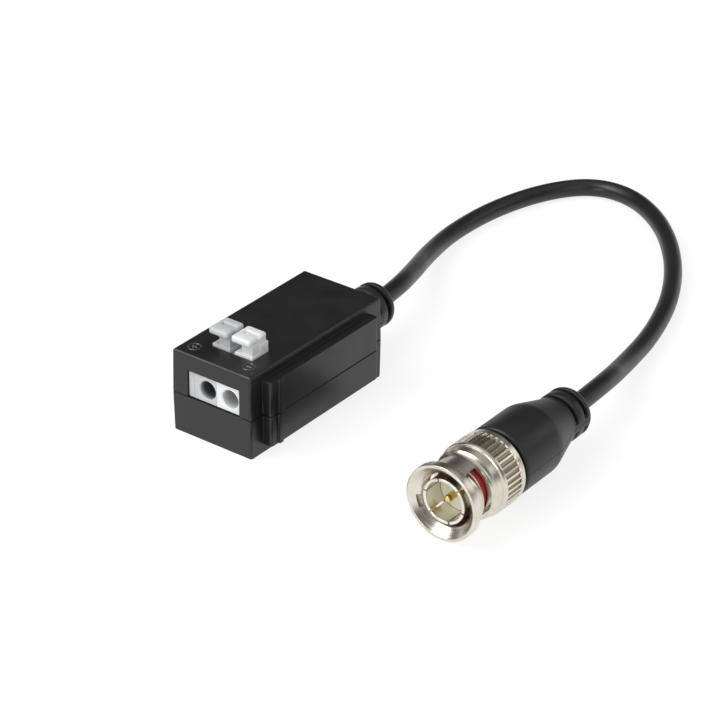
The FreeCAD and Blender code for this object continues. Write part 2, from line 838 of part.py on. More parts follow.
boot_bore = shank_radius + running_clearance
ferrule_seat = ferrule_radius + running_clearance
ferrule_stop = ferrule_end + 2 * running_clearance
boot = turned([
    (boot_start, boot_bore), (boot_start, boot_radius - boot_rim), (boot_start + boot_rim, boot_radius),
    (boot_taper_start, boot_radius), (boot_neck_start, boot_neck_radius),
    *rounded_end(boot_end, boot_neck_radius), (boot_end, cord_bore), (ferrule_stop, cord_bore),
    (ferrule_stop, ferrule_seat), (seat, ferrule_seat), (seat, boot_bore),
])
boot_last = plug_front + boot_end - ring_slot_inset
boot = boot.cut(ring_slots(plug_x, plug_height, boot_neck_radius, boot_last, 2))
save("plug_boot", boot.removeSplitter())
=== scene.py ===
import math

import bmesh
import bpy
import numpy as np
from mathutils import Matrix, Vector


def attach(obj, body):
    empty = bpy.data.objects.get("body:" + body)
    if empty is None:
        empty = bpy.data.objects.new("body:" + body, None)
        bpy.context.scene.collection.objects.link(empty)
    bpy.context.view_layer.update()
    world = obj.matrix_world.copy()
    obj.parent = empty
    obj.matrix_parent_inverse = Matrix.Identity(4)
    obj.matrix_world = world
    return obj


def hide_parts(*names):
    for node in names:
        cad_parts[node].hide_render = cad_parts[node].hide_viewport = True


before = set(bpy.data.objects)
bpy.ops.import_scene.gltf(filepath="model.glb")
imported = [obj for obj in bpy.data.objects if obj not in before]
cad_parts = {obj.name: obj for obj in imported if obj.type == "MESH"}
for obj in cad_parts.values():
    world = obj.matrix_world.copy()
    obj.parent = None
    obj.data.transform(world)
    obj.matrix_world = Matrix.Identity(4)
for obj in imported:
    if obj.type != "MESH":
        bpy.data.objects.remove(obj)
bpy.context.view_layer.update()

# The stand for the picture: a lens at the photograph's place, a white table that keeps the
# object's shadow, and a bright surround at table height that darkens overhead, as in a light tent.
lens_place = Vector((0.27644, -0.34036, 0.25791))
lens_turn = math.radians(37.17)
lens_height = math.radians(29.62)
lens_roll = math.radians(0.3)


def put(name, data):
    """Object of the data, linked to the scene."""
    made = bpy.data.objects.new(name, data)
    bpy.context.scene.collection.objects.link(made)
    return made


back = Vector((
    math.sin(lens_turn) * math.cos(lens_height), -math.cos(lens_turn) * math.cos(lens_height),
    math.sin(lens_height),
))
level = Vector((math.cos(lens_turn), math.sin(lens_turn), 0))
rise = back.cross(level)
across = math.cos(lens_roll) * level + math.sin(lens_roll) * rise
upward = -math.sin(lens_roll) * level + math.cos(lens_roll) * rise
lens = bpy.data.cameras.new("studio_lens")
lens.lens = 140.0
lens.sensor_width = 36.0
lens.clip_start = 0.01
lens.clip_end = 10.0
camera = put("studio_lens", lens)
camera.matrix_world = Matrix.Translation(lens_place) @ Matrix((across, upward, back)).transposed().to_4x4()
bpy.context.scene.camera = camera
bpy.context.scene.view_settings.view_transform = "Standard"


class Nodes:
    """A node tree being wired: add(kind, sockets) places a node and links or sets its inputs. The
    other calls place a common node and return its output."""

    def __init__(self, tree):
        self.tree = tree

    def add(self, kind, inputs=None, **settings):
        node = self.tree.nodes.new(kind)
        for name, value in settings.items():
            setattr(node, name, value)
        for name, value in (inputs or {}).items():
            socket = node.inputs[name]
            if isinstance(value, bpy.types.NodeSocket):
                self.tree.links.new(value, socket)
            else:
                socket.default_value = value
        return node

    def math(self, operation, *values):
        """Number worked out from one or two numbers."""
        return self.add("ShaderNodeMath", dict(enumerate(values)), operation=operation).outputs["Value"]

    def vector(self, operation, *values):
        """Vector worked out from one or two vectors, or a number where a length is asked for."""
        node = self.add("ShaderNodeVectorMath", dict(enumerate(values)), operation=operation)
        return node.outputs["Value" if operation == "LENGTH" else "Vector"]

    def ramp(self, value, start, stop, low=0.0, high=1.0, **settings):
        """Low up to the start, high from the stop on, and between them in proportion."""
        return self.add("ShaderNodeMapRange", {
            "Value": value, "From Min": start, "From Max": stop, "To Min": low, "To Max": high
        }, **settings).outputs["Result"]

    def mixed(self, share, first, second):
        """The first colour, with a share of the second."""
        return self.add("ShaderNodeMix", {6: first, 7: second, 0: share}, data_type="RGBA").outputs[2]

    def noise(self, place, scale, **sockets):
        """Noise of about 0 to 1 at a place."""
        return self.add("ShaderNodeTexNoise", {"Vector": place, "Scale": scale, **sockets}).outputs["Fac"]


def empty_material(name):
    """Material with no nodes yet, and its tree to be wired."""
    material = bpy.data.materials.new(name)
    material.use_nodes = True
    material.node_tree.nodes.clear()
    return material, Nodes(material.node_tree)


def flat_face(name, corners, material):
    """One flat face through the corners."""
    mesh = bpy.data.meshes.new(name)
    mesh.from_pydata(corners, [], [tuple(range(len(corners)))])
    mesh.materials.append(material)
    return put(name, mesh)


white = (1.0, 1.0, 1.0, 1.0)
horizon_glow, upper_glow, zenith_glow, diffuse_glow = 0.8, 0.05, 0.6, 0.5
world = bpy.data.worlds.new("light_tent")
bpy.context.scene.world = world
world.use_nodes = True
world.node_tree.nodes.clear()
sky = Nodes(world.node_tree)
direction = sky.add("ShaderNodeTexCoord").outputs["Generated"]
height = sky.add("ShaderNodeSeparateXYZ", {"Vector": direction}).outputs["Z"]
reflected = sky.math(
    "ADD", sky.ramp(height, 0.0, 0.32, horizon_glow, upper_glow, interpolation_type="SMOOTHSTEP"),
    sky.ramp(height, 0.6, 0.88, 0.0, zenith_glow, interpolation_type="SMOOTHSTEP"),
)
ray = sky.add("ShaderNodeLightPath").outputs
seen = sky.math("MAXIMUM", ray["Is Camera Ray"], ray["Is Transmission Ray"])
tent = sky.add("ShaderNodeMix", {"Factor": ray["Is Glossy Ray"], "A": diffuse_glow, "B": reflected})
strength = sky.add("ShaderNodeMix", {"Factor": seen, "A": tent.outputs["Result"], "B": 1.0})
surround = sky.add("ShaderNodeBackground", {"Color": white, "Strength": strength.outputs["Result"]})
sky.add("ShaderNodeOutputWorld", {"Surface": surround.outputs["Background"]})

table_half = 3.0
lit_shade, shown_shade, shown_glow = (0.8, 0.8, 0.8, 1.0), (0.2, 0.2, 0.2, 1.0), 0.82
table_paint, paint = empty_material("white_table")
ray = paint.add("ShaderNodeLightPath").outputs
shown = paint.math("MAXIMUM", ray["Is Camera Ray"], ray["Is Glossy Ray"])
shown = paint.math("MAXIMUM", shown, ray["Is Transmission Ray"])
matt = paint.add("ShaderNodeBsdfDiffuse", {"Color": paint.mixed(shown, lit_shade, shown_shade)})
lift = paint.math("MULTIPLY", shown, shown_glow)
glow = paint.add("ShaderNodeEmission", {"Color": white, "Strength": lift})
both = paint.add("ShaderNodeAddShader", {0: matt.outputs["BSDF"], 1: glow.outputs["Emission"]})
paint.add("ShaderNodeOutputMaterial", {"Surface": both.outputs["Shader"]})
table = flat_face("table", [
    (-table_half, -table_half, 0), (table_half, -table_half, 0), (table_half, table_half, 0),
    (-table_half, table_half, 0),
], table_paint)


def soft_box(name, place, target, size, power):
    """Square area lamp at a place, facing a target."""
    lamp = bpy.data.lights.new(name, "AREA")
    lamp.shape = "SQUARE"
    lamp.size = size
    lamp.energy = power
    holder = put(name, lamp)
    holder.location = place
    holder.rotation_mode = "QUATERNION"
    holder.rotation_quaternion = (Vector(target) - Vector(place)).to_track_quat("-Z", "Y")


soft_box("key_lamp", (-0.35, -0.45, 0.75), (0.02, 0.03, 0.0), 0.65, 6.4)
soft_box("fill_lamp", (0.75, -0.25, 0.5), (0.03, 0.03, 0.0), 0.5, 1.4)
soft_box("front_lamp", (0.1, -0.75, 0.17), (0.03, 0.0, 0.01), 0.3, 1.6)
soft_box("rim_lamp", (0.6, 0.75, 0.5), (0.03, 0.05, 0.0), 0.45, 0.8)

# A black card that lies on the table to the right of the housing and is seen in reflections only. It
# darkens the front of the side rail, as in the photograph.
card_left, card_right, card_front, card_height = 0.016, 0.034, -0.03, 0.0003
card_paint, paint = empty_material("black_card_paint")
matt = paint.add("ShaderNodeBsdfDiffuse", {"Color": (0.01, 0.01, 0.01, 1.0)})
paint.add("ShaderNodeOutputMaterial", {"Surface": matt.outputs["BSDF"]})
card = flat_face("black_card", [
    (card_left, card_front, card_height), (card_right, card_front, card_height),
    (card_right, 0.016, card_height), (card_left, 0.010, card_height),
], card_paint)
for kind in ("camera", "diffuse", "transmission", "volume_scatter", "shadow"):
    setattr(card, f"visible_{kind}", False)


# The pigtail: a thin coaxial cable in a smooth black vinyl jacket, moulded into the grommet at one
# end and into the plug's boot at the other. It lies on the table in one open loop.
mm = 0.001
cord_radius = 1.8
cord_route = [
    (0.0, 29.8, 7.8), (-0.7, 37.1, 7.8), (-4.3, 46.8, 5.9), (-9.3, 58.4, 3.2), (-12.6, 71.3, 1.82),
    (-12.0, 85.3, 1.82), (-8.3, 98.1, 1.82), (-2.0, 106.5, 1.82), (7.2, 107.4, 1.82), (18.1, 101.0, 1.82),
    (28.5, 89.4, 1.82), (36.9, 74.9, 1.82), (42.0, 59.6, 1.82), (45.3, 44.5, 3.3), (49.5, 31.2, 7.15),
    (49.9, 20.2, 7.15),
]
skin_outputs = [
    ("Color", "NodeSocketColor"), ("Roughness", "NodeSocketFloat"), ("Normal", "NodeSocketVector"),
]


def effect(name, inputs, outputs, build):
    """Shader node group with named sockets, wired by a function that returns its outputs."""
    tree = bpy.data.node_groups.new(name, "ShaderNodeTree")
    for socket, kind, value in inputs:
        tree.interface.new_socket(socket, in_out="INPUT", socket_type=kind).default_value = value
    for socket, kind in outputs:
        tree.interface.new_socket(socket, in_out="OUTPUT", socket_type=kind)
    nodes = Nodes(tree)
    given = nodes.add("NodeGroupInput").outputs
    nodes.add("NodeGroupOutput", build(nodes, given))
    return tree


def build_moulded(nodes, given):
    """Moulded skin: a pebbled height from fine noise, faint cloudy shade and gloss that vary."""
    place = nodes.add("ShaderNodeTexCoord").outputs["Object"]
    pebble = nodes.noise(place, given["Grain Per Metre"], Detail=3.0, Roughness=0.6)
    cloud = nodes.noise(place, 180.0, Detail=4.0)
    darker = nodes.vector("MULTIPLY", given["Color"], (0.72, 0.72, 0.72))
    rough = nodes.math("ADD", given["Roughness"], nodes.ramp(cloud, 0.3, 0.7, -0.05, 0.07))
    bump = nodes.add("ShaderNodeBump", {"Strength": given["Grain"], "Distance": 0.00003, "Height": pebble})
    return {
        "Color": nodes.mixed(cloud, darker, given["Color"]), "Roughness": rough,
        "Normal": bump.outputs["Normal"],
    }


moulded_skin = effect("moulded_skin", [
    ("Color", "NodeSocketColor", (0.01, 0.01, 0.01, 1.0)), ("Roughness", "NodeSocketFloat", 0.4),
    ("Grain Per Metre", "NodeSocketFloat", 6000.0), ("Grain", "NodeSocketFloat", 0.3),
], skin_outputs, build_moulded)


def skinned(name, skin, inputs, tint=None, **sockets):
    """Material whose colour, roughness and normal come from a skin's group, with the group's inputs
    and the constant sockets of the shader. A tint is a function that changes the skin's colour."""
    material, nodes = empty_material(name)
    given = nodes.add("ShaderNodeGroup", inputs, node_tree=skin).outputs
    shader = nodes.add("ShaderNodeBsdfPrincipled", {
        "Base Color": tint(nodes, given["Color"]) if tint else given["Color"],
        "Roughness": given["Roughness"], "Normal": given["Normal"],
        **{socket.replace("_", " "): value for socket, value in sockets.items()},
    })
    nodes.add("ShaderNodeOutputMaterial", {"Surface": shader.outputs["BSDF"]})
    return material


def moulded(name, colour, roughness, grain_per_metre, grain, **more):
    """Plastic or rubber with the moulded skin."""
    return skinned(name, moulded_skin, {
        "Color": (*colour, 1.0), "Roughness": roughness, "Grain Per Metre": grain_per_metre, "Grain": grain
    }, **more)


jacket_vinyl = moulded("jacket_vinyl", (0.008, 0.008, 0.008), 0.38, 3500.0, 0.12)
cord_curve = bpy.data.curves.new("pigtail", "CURVE")
cord_curve.dimensions = "3D"
line = cord_curve.splines.new("NURBS")
line.points.add(len(cord_route) - 1)
line.points.foreach_set("co", np.column_stack((np.array(cord_route) * mm, np.ones(len(cord_route)))).ravel())
line.order_u = 3
line.use_endpoint_u = True
line.resolution_u = 24
cord_curve.bevel_depth = cord_radius * mm
cord_curve.bevel_resolution = 8
cord_curve.use_fill_caps = True
cord_curve.materials.append(jacket_vinyl)
pigtail = put("pigtail", cord_curve)
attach(pigtail, "housing")
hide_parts("coax_cord")


# The grommet: soft black vinyl moulded on the pigtail and held in the rear wall between the two
# shells. Three ring grooves let it bend with the cord. A web at the mould's parting breaks all but
# the one nearest the end.
housing_rear = 18.9
parting = 7.8
grommet_length = 10.9


def rounded(corners, steps=5):
    """Outline through (distance, radius, rounding) corners, each replaced by an arc that is tangent
    to its two sides. The arc's points are the centre plus the rounding times a turning unit vector."""
    nearly_straight = math.radians(89.5)
    corners = np.array(corners, float)
    places, radii = corners[:, :2], corners[:, 2]
    out = [places[:1]]
    for before, corner, after, radius in zip(places, places[1:], places[2:], radii[1:-1]):
        u = (before - corner) / np.linalg.norm(before - corner)
        v = (after - corner) / np.linalg.norm(after - corner)
        half = math.acos(max(-1.0, min(1.0, float(u @ v)))) / 2
        if radius < 1e-6 or half > nearly_straight:
            out.append(corner[None])
            continue
        middle = (u + v) / np.linalg.norm(u + v)
        centre = corner + middle * radius / math.sin(half)
        first = corner + u * radius / math.tan(half) - centre
        last = corner + v * radius / math.tan(half) - centre
        swing = math.atan2(first[0] * last[1] - first[1] * last[0], float(first @ last))
        angle = np.linspace(0, swing, steps + 1)[:, None]
        out.append(centre + np.cos(angle) * first + np.sin(angle) * np.array([-first[1], first[0]]))
    out.append(places[-1:])
    return np.concatenate(out)


def full_turn(columns):
    """Angles at even steps round a circle, in radians, the first one not repeated at the end."""
    return np.linspace(0, 2 * math.pi, columns, endpoint=False)


def about_axis(along, radius, turn, axis):
    """Points at a distance along an axis parallel to Y, at a radius, turned from +X towards +Z:
    x = axis x + radius cos(turn), y = axis y + along, z = axis z + radius sin(turn), in metres."""
    x = axis[0] + radius * np.cos(turn)
    z = axis[2] + radius * np.sin(turn)
    y = axis[1] + along + 0 * turn
    return np.stack(np.broadcast_arrays(x, y, z), axis=-1) * mm


def ring_faces(rows, columns, closed):
    """Four-cornered faces of a grid that runs round in its columns, and in its rows too if closed."""
    i = np.arange(rows if closed else rows - 1)[:, None]
    j = np.arange(columns)[None, :]
    below, right = (i + 1) % rows, (j + 1) % columns
    return np.stack(np.broadcast_arrays(
        i * columns + j, below * columns + j, below * columns + right, i * columns + right
    ), axis=-1).reshape(-1, 4)


def solid(name, points, faces, material, body, slot, replaces=(), sharp=38.0):
    """Mesh object from a point array and face array, its doubles merged and its faces outward. Edges
    are smooth up to the sharp angle, in degrees."""
    mesh = bpy.data.meshes.new(name)
    mesh.from_pydata(points.reshape(-1, 3).tolist(), [], faces.tolist())
    work = bmesh.new()
    work.from_mesh(mesh)
    bmesh.ops.remove_doubles(work, verts=work.verts, dist=1e-7)
    bmesh.ops.dissolve_degenerate(work, edges=work.edges, dist=1e-8)
    bmesh.ops.recalc_face_normals(work, faces=work.faces)
    work.to_mesh(mesh)
    work.free()
    mesh.polygons.foreach_set("use_smooth", np.ones(len(mesh.polygons), bool))
    mesh.set_sharp_from_angle(angle=math.radians(sharp))
    mesh.materials.append(material)
    made = put(name, mesh)
    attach(made, body)
    if replaces:
        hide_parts(*replaces)
    return made


groove_depth, groove_bore = 1.1, 1.44
groove_lips = np.array([-0.2, -0.12, -0.05, 0.02, 0.09, 0.16, 0.74, 0.81, 0.88, 0.95, 1.02, 1.1])
groove_shares = [0, 0.03, 0.12, 0.35, 0.8, 1, 1, 0.8, 0.35, 0.12, 0.03, 0]


def grooved(outline, grooves, axis, ridge, unbroken=()):
    """Turned form with ring grooves, which the parting's web breaks apart from the unbroken ones. The
    radius is the outline's, less the depth times a groove's share across its lips, times a mask that
    falls to nothing within the web at 0 and 180 degrees of turn, plus a fine ridge there. A plain
    bore closes the form inside. The outline's first point only guides its first rounding."""
    columns, web_half, ridge_half = 192, 11.0, 0.008
    outline = outline[1:]
    near = np.array([-0.02, -0.01, 0.01, 0.02])
    turn = np.sort(np.concatenate([full_turn(columns), near, math.pi + near]))
    off = np.degrees(np.abs((turn + math.pi / 2) % math.pi - math.pi / 2))
    web = np.clip(web_half + 1.0 - off, 0, 1)
    flash = ridge * np.exp(-(np.radians(off) / ridge_half) ** 2)
    every = (*grooves, *unbroken)
    extra = np.concatenate([g + groove_lips for g in every])
    along = np.concatenate([outline[:, 0], extra])
    radius = np.concatenate([outline[:, 1], np.interp(extra, outline[:, 0], outline[:, 1])])
    order = np.argsort(along, kind="stable")
    along, radius = along[order], radius[order]
    sunk = sum(np.interp(along, g + groove_lips, groove_shares, 0, 0)[:, None] * (
        1.0 if g in unbroken else 1 - web
    ) for g in every)
    outer = about_axis(along[:, None], radius[:, None] + flash - groove_depth * sunk, turn, axis)
    ends = np.array([along[-1], along[0]])[:, None]
    inner = about_axis(ends, np.full((2, 1), groove_bore), turn, axis)
    points = np.concatenate([outer, inner])
    return points, ring_faces(len(points), len(turn), True)


soft_vinyl = moulded("soft_vinyl", (0.0085, 0.0085, 0.009), 0.42, 2600.0, 0.35)
grommet_outline = rounded([
    (0.05, 1.5, 0), (0.05, 4.4, 0.15), (grommet_length, 4.4, 1.2), (grommet_length, 2.1, 0.2),
    (grommet_length + 0.001, 1.45, 0)
])
points, faces = grooved(grommet_outline, (5.4, 2.5), (0.0, housing_rear, parting), 0.02, unbroken=(8.3,))
solid("cord_grommet_soft", points, faces, soft_vinyl, "housing", "black_rubber", ("cord_grommet",))


# The boot: the same vinyl moulded over the plug's shank and ferrule. It is a plain barrel, then a
# taper with softened shoulders, then a neck with two broken grooves. Its parting shows at its side.
plug_axis = plug_x, plug_front, plug_z = 49.9, -19.2, 7.15
boot_end = 39.4
boot_outline = rounded([
    (16.0, 4.46, 0), (16.0, 6.75, 0.55), (26.2, 6.75, 6.0), (33.2, 4.65, 2.5), (boot_end, 4.65, 1.5),
    (boot_end, 2.3, 0.2), (boot_end + 0.001, 1.45, 0)
], steps=10)
points, faces = grooved(boot_outline, (33.9, 36.8), plug_axis, 0.05)
boot = solid("plug_boot_soft", points, faces, soft_vinyl, "housing", "black_rubber", ("plug_boot",))


# The coupling sleeve: turned brass with a bright nickel plate. A flat flange in front, a necked barrel
# with two windows for the bayonet's run, a stepped shoulder and a fluted grip. A thin strip crosses
# each window, and the window's front edge slants.
barrel_radius, bore_radius, grip_radius = 5.95, 5.05, 6.95
flutes, flute_depth = 40, 0.32
flute_front, flute_rear = 9.85, 13.75
lines_per_metre, drift_per_metre = 9000.0, 240.0


def build_turned(nodes, given):
    """Turned metal: fine lines that run round the plug's axis, from noise that is long round the axis
    and short along it and across it, faint stains, and gloss that varies with the lines. A painted
    shade turns the colour dark brown low in the grip's flutes, between their two ends."""
    place = nodes.add("ShaderNodeTexCoord").outputs["Object"]
    centred = nodes.vector("SUBTRACT", place, (plug_x * mm, plug_front * mm, plug_z * mm))
    reach = nodes.vector("LENGTH", nodes.vector("MULTIPLY", centred, (1.0, 0.0, 1.0)))
    along = nodes.add("ShaderNodeSeparateXYZ", {"Vector": centred}).outputs
    cut = nodes.add("ShaderNodeCombineXYZ", {
        "X": nodes.math("MULTIPLY", reach, lines_per_metre),
        "Y": nodes.math("MULTIPLY", along["Y"], lines_per_metre),
        "Z": nodes.math("MULTIPLY", along["X"], drift_per_metre),
    }).outputs["Vector"]
    lines = nodes.noise(cut, 1.0, Detail=2.0)
    stain = nodes.noise(place, 260.0, Detail=5.0)
    dull = nodes.vector("MULTIPLY", given["Color"], (0.86, 0.83, 0.78))
    colour = nodes.mixed(nodes.ramp(stain, 0.35, 0.65), dull, given["Color"])
    # Painted shade: a mask that is 1 low in the flutes' valleys, between their two ends.
    painted_flute_shade = nodes.ramp(along["Y"], 9.7 * mm, flute_front * mm)
    for mask in (
        nodes.ramp(along["Y"], flute_rear * mm, 13.9 * mm, 1.0, 0.0),
        nodes.ramp(reach, 5.8 * mm, 6.0 * mm), nodes.ramp(reach, 6.66 * mm, 6.9 * mm, 1.0, 0.0),
        given["Flute Painted Shade"],
    ):
        painted_flute_shade = nodes.math("MULTIPLY", painted_flute_shade, mask)
    rough = nodes.math("ADD", given["Roughness"], nodes.ramp(lines, 0.3, 0.7, -0.04, 0.06))
    bump = nodes.add("ShaderNodeBump", {"Strength": given["Lines"], "Distance": 0.00001, "Height": lines})
    return {
        "Color": nodes.mixed(painted_flute_shade, colour, (0.24, 0.2, 0.14, 1.0)), "Roughness": rough,
        "Normal": bump.outputs["Normal"],
    }


turned_skin = effect("turned_lines", [
    ("Color", "NodeSocketColor", (0.7, 0.66, 0.6, 1.0)), ("Roughness", "NodeSocketFloat", 0.25),
    ("Lines", "NodeSocketFloat", 0.3), ("Flute Painted Shade", "NodeSocketFloat", 0.0),
], skin_outputs, build_turned)


def turned(name, colour, roughness, lines, painted_flute_shade=0.0):
    """Bright metal with the turned lines, and a painted shade in the grip's flutes where it has them."""
    return skinned(name, turned_skin, {
        "Color": (*colour, 1.0), "Roughness": roughness, "Lines": lines, "Flute Painted Shade": painted_flute_shade
    }, Metallic=1.0)


def opened(faces, grid, outer, inner, spans):
    """The faces less those of the spans' columns between the first and last outer row and between
    the matching inner rows, plus walls that join the two skins round each opening. An opening that
    starts at both the first and the last row of the grid also runs out through the rim there."""
    keep = np.ones(len(faces), bool).reshape(grid)
    columns = grid[1]
    walls = []
    through = outer[0] == 0 and inner[0] == grid[0] - 1
    for start, stop in spans:
        held = np.arange(start, stop) % columns
        for rows in (outer, inner):
            low, high = sorted((rows[0], rows[-1]))
            keep[low:high, held] = False
        right = (held + 1) % columns
        ends = [(outer[-1], inner[-1])]
        if through:
            keep[-1, held] = False
        else:
            ends.append((outer[0], inner[0]))
        for a, b in ends:
            walls.append(np.stack([
                a * columns + held, a * columns + right, b * columns + right, b * columns + held
            ], axis=-1))
        a, b = np.array(outer), np.array(inner)
        for j in (start % columns, stop % columns):
            walls.append(np.stack([
                a[:-1] * columns + j, a[1:] * columns + j, b[1:] * columns + j, b[:-1] * columns + j
            ], axis=-1))
    return np.concatenate([faces[keep.ravel()]] + walls)


def joined(forms):
    """Points and faces of several closed forms in one mesh, each given as its points and faces. The
    numbers in a form's faces go up by the count of the points before it."""
    points, faces, used = [], [], 0
    for form, form_faces in forms:
        points.append(form.reshape(-1, 3))
        faces.append(form_faces + used)
        used += len(points[-1])
    return np.concatenate(points), np.concatenate(faces)


# The last number is the share of painted shade in the grip's flutes.
nickel = turned("bright_nickel", (0.76, 0.72, 0.64), 0.25, 0.32, 0.85)
columns = flutes * 12
turn = full_turn(columns)
flat = np.zeros(columns)


def plain(outline):
    """Rows of constant distance and radius from an outline."""
    return [(flat + s, flat + r) for s, r in outline]


# Each window spans these angles and their opposites. Its front edge is straight, then slants forward
# over the last 34 degrees.
window_from, window_to, window_slant = -22, 63, 34
window_rear = 6.35
since = np.degrees((turn - math.radians(window_from)) % math.pi)
window_front = 2.85 + 1.0 * np.clip((window_to - since - window_from) / window_slant, 0, 1) ** 0.8

# Masks over the turn: 1 in the valleys of the grip, which are flat-bottomed with smooth flanks, and 1
# in the two channels inside the bore, which take the mating socket's lugs.
flank = 0.12
valley = np.clip((0.34 - np.abs(turn * flutes / (2 * math.pi) % 1 - 0.5)) / flank, 0, 1)
valley = valley * valley * (3 - 2 * valley)
channel_turn, channel_half, channel_reach, channel_depth = math.radians(20), 1.2, 5.6, 0.65
from_channel = np.abs((turn - channel_turn + math.pi / 2) % math.pi - math.pi / 2)
channel = np.clip((channel_half - channel_reach * from_channel) / flank, 0, 1)

rows = plain(rounded([
    (0.5, 6.05, 0), (0.0, 6.55, 0.08), (0.0, 7.1, 0.15), (1.7, 7.1, 0.12), (1.75, 6.35, 0.0),
    (2.1, 6.12, 0), (2.7, barrel_radius, 0),
]))
window_outside = len(rows)
rows += [(flat + window_front, flat + barrel_radius), (flat + window_rear, flat + barrel_radius)]
rows += plain(rounded([
    (6.6, barrel_radius, 0), (6.75, 6.0, 0), (7.0, 6.1, 0.05), (7.35, 6.5, 0.12), (8.9, 6.56, 0.05),
    (9.05, 6.82, 0.08), (9.45, grip_radius, 0.1), (9.75, grip_radius, 0),
]))
valley_radius = grip_radius - flute_depth * valley
rows += [(flat + flute_front, valley_radius), (flat + flute_rear, valley_radius)]
rows += plain(rounded([
    (13.85, grip_radius, 0), (14.85, grip_radius, 0.1), (15.3, 6.6, 0.08), (15.3, 4.47, 0.05),
    (12.05, 4.47, 0.02), (12.05, bore_radius, 0.02), (6.6, bore_radius, 0),
]))
window_inside = len(rows)
rows += [(flat + window_rear, flat + bore_radius), (flat + window_front, flat + bore_radius)]
inside = bore_radius + channel_depth * channel
rows += [(flat + 2.75, flat + bore_radius), (flat + 2.65, inside), (flat + 1.45, inside)]
rows += [(flat + 1.4, np.maximum(5.1, inside)), (flat + 0.8, np.maximum(5.75, inside))]
along, radius = np.array(rows).transpose(1, 0, 2)
start, stop = round(window_from * columns / 360), round(window_to * columns / 360)
forms = [(about_axis(along, radius, turn, plug_axis), opened(
    ring_faces(len(rows), columns, True), (len(rows), columns),
    (window_outside, window_outside + 1), (window_inside + 1, window_inside),
    [(start, stop), (start + columns // 2, stop + columns // 2)],
))]

# The strips: a flat six-cornered section carried round past both ends of a window, closed by a
# middle point at each end.
strip_turn = np.radians(np.linspace(window_from - 3, window_to + 3, 60))
strip_section = np.array([(3.95, 5.9), (4.0, 5.94), (4.15, 5.94), (4.2, 5.9), (4.2, 5.7), (3.95, 5.7)])
for half_turn in (0, math.pi):
    strip = about_axis(
        strip_section[:, None, 0], strip_section[:, None, 1] + 0 * strip_turn, strip_turn + half_turn,
        plug_axis,
    ).transpose(1, 0, 2)
    ends = [np.broadcast_to(strip[k].mean(0), strip[:1].shape) for k in (0, -1)]
    strip = np.concatenate([ends[0], strip, ends[1]])
    forms.append((strip, ring_faces(*strip.shape[:2], False)))
sleeve = solid(
    "coupling_sleeve_plated", *joined(forms), nickel, "coupling", "nickel", ("coupling_sleeve",), 30.0
)


# The plug's body: the same nickel on brass, turned in one piece. Its front is the outer contact, a thin
# springy tube that three saw cuts across it divide into six fingers.
contact_metal = turned("contact_nickel", (0.86, 0.84, 0.78), 0.2, 0.12)
contact_outer, contact_inner = 4.25, 3.7
slit_end, slit_half = 6.4, 2
columns = 360
body_outline = rounded([
    (0.8, 3.98, 0), (0.8, contact_outer, 0.12), (slit_end, contact_outer, 0), (7.95, contact_outer, 0),
    (7.95, 4.85, 0.05), (9.3, 4.85, 0.05), (9.3, 4.4, 0), (17.2, 4.4, 0.05), (17.2, 2.2, 0),
    (22.0, 2.2, 0), (22.0, 1.3, 0), (15.4, 1.3, 0), (15.4, contact_inner, 0),
    (slit_end, contact_inner, 0), (0.8, contact_inner, 0.12), (0.8, 3.97, 0),
], steps=4)
at_slit_end = np.flatnonzero(np.abs(body_outline[:, 0] - slit_end) < 1e-9)
last = len(body_outline) - 1
points = about_axis(body_outline[:, :1], body_outline[:, 1:], full_turn(columns), plug_axis)
faces = opened(
    ring_faces(len(body_outline), columns, True), (len(body_outline), columns),
    list(range(0, at_slit_end[0] + 1)), list(range(last, at_slit_end[-1] - 1, -1)),
    [(a - slit_half, a + slit_half) for a in range(47, 360, 60)],
)
contact = solid("plug_body_plated", points, faces, contact_metal, "housing", "nickel", ("plug_body",), 30.0)


# Inside the plug: a cream dielectric, a gold-plated pin with a domed tip, and a red silicone ring that
# seals against the mating socket. Each is turned or moulded round. Behind them a spring washer, the
# thrust ring that the sleeve turns against and the ferrule crimped on the stripped cord.
def turned_piece(name, outline, material, slot, replaces, columns=128):
    """Closed round piece from an outline that runs out along the outside and back inside."""
    outline = rounded(outline)
    points = about_axis(outline[:, :1], outline[:, 1:], full_turn(columns), plug_axis)
    faces = ring_faces(len(outline), columns, True)
    return solid(name, points, faces, material, "housing", slot, replaces, 30.0)


def finished(finish, *names):
    """Gives CAD pieces that stay as they are their material."""
    for name in names:
        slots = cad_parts[name].data.materials
        slots.clear()
        slots.append(finish)


cream = moulded("cream_dielectric", (0.88, 0.82, 0.62), 0.42, 1800.0, 0.2, Subsurface_Weight=0.15)
gold = turned("gold_plate", (0.83, 0.58, 0.2), 0.2, 0.15)
red = moulded("red_silicone", (0.36, 0.02, 0.016), 0.42, 2200.0, 0.15)
insulator = turned_piece("plug_insulator_cream", [
    (5.0, 1.04, 0), (5.0, 3.66, 0.1), (15.36, 3.66, 0.1), (15.36, 1.04, 0), (5.001, 1.04, 0)
], cream, "cream_dielectric", ("plug_insulator",))
pin = turned_piece("centre_pin_gold", [
    (1.7, 0.0, 0), (1.7, 0.5, 0.34), (2.5, 0.67, 0.6), (5.0, 0.67, 0.02),
    (5.0, 1.0, 0.02), (15.0, 1.0, 0.05), (15.0, 0.0, 0)
], gold, "gold", ("centre_pin",), 64)
gasket = turned_piece("sealing_gasket_red", [
    (5.4, 4.3, 0), (5.4, 4.8, 0.2), (7.9, 4.8, 0.2), (7.9, 4.3, 0.05), (5.401, 4.3, 0)
], red, "red_rubber", ("sealing_gasket",))
finished(turned("washer_spring_steel", (0.62, 0.6, 0.57), 0.3, 0.2), "wave_washer")
finished(nickel, "thrust_ring")
finished(turned("ferrule_nickel", (0.7, 0.67, 0.6), 0.3, 0.2), "crimp_ferrule")
finished(jacket_vinyl, "cord_plug_end")


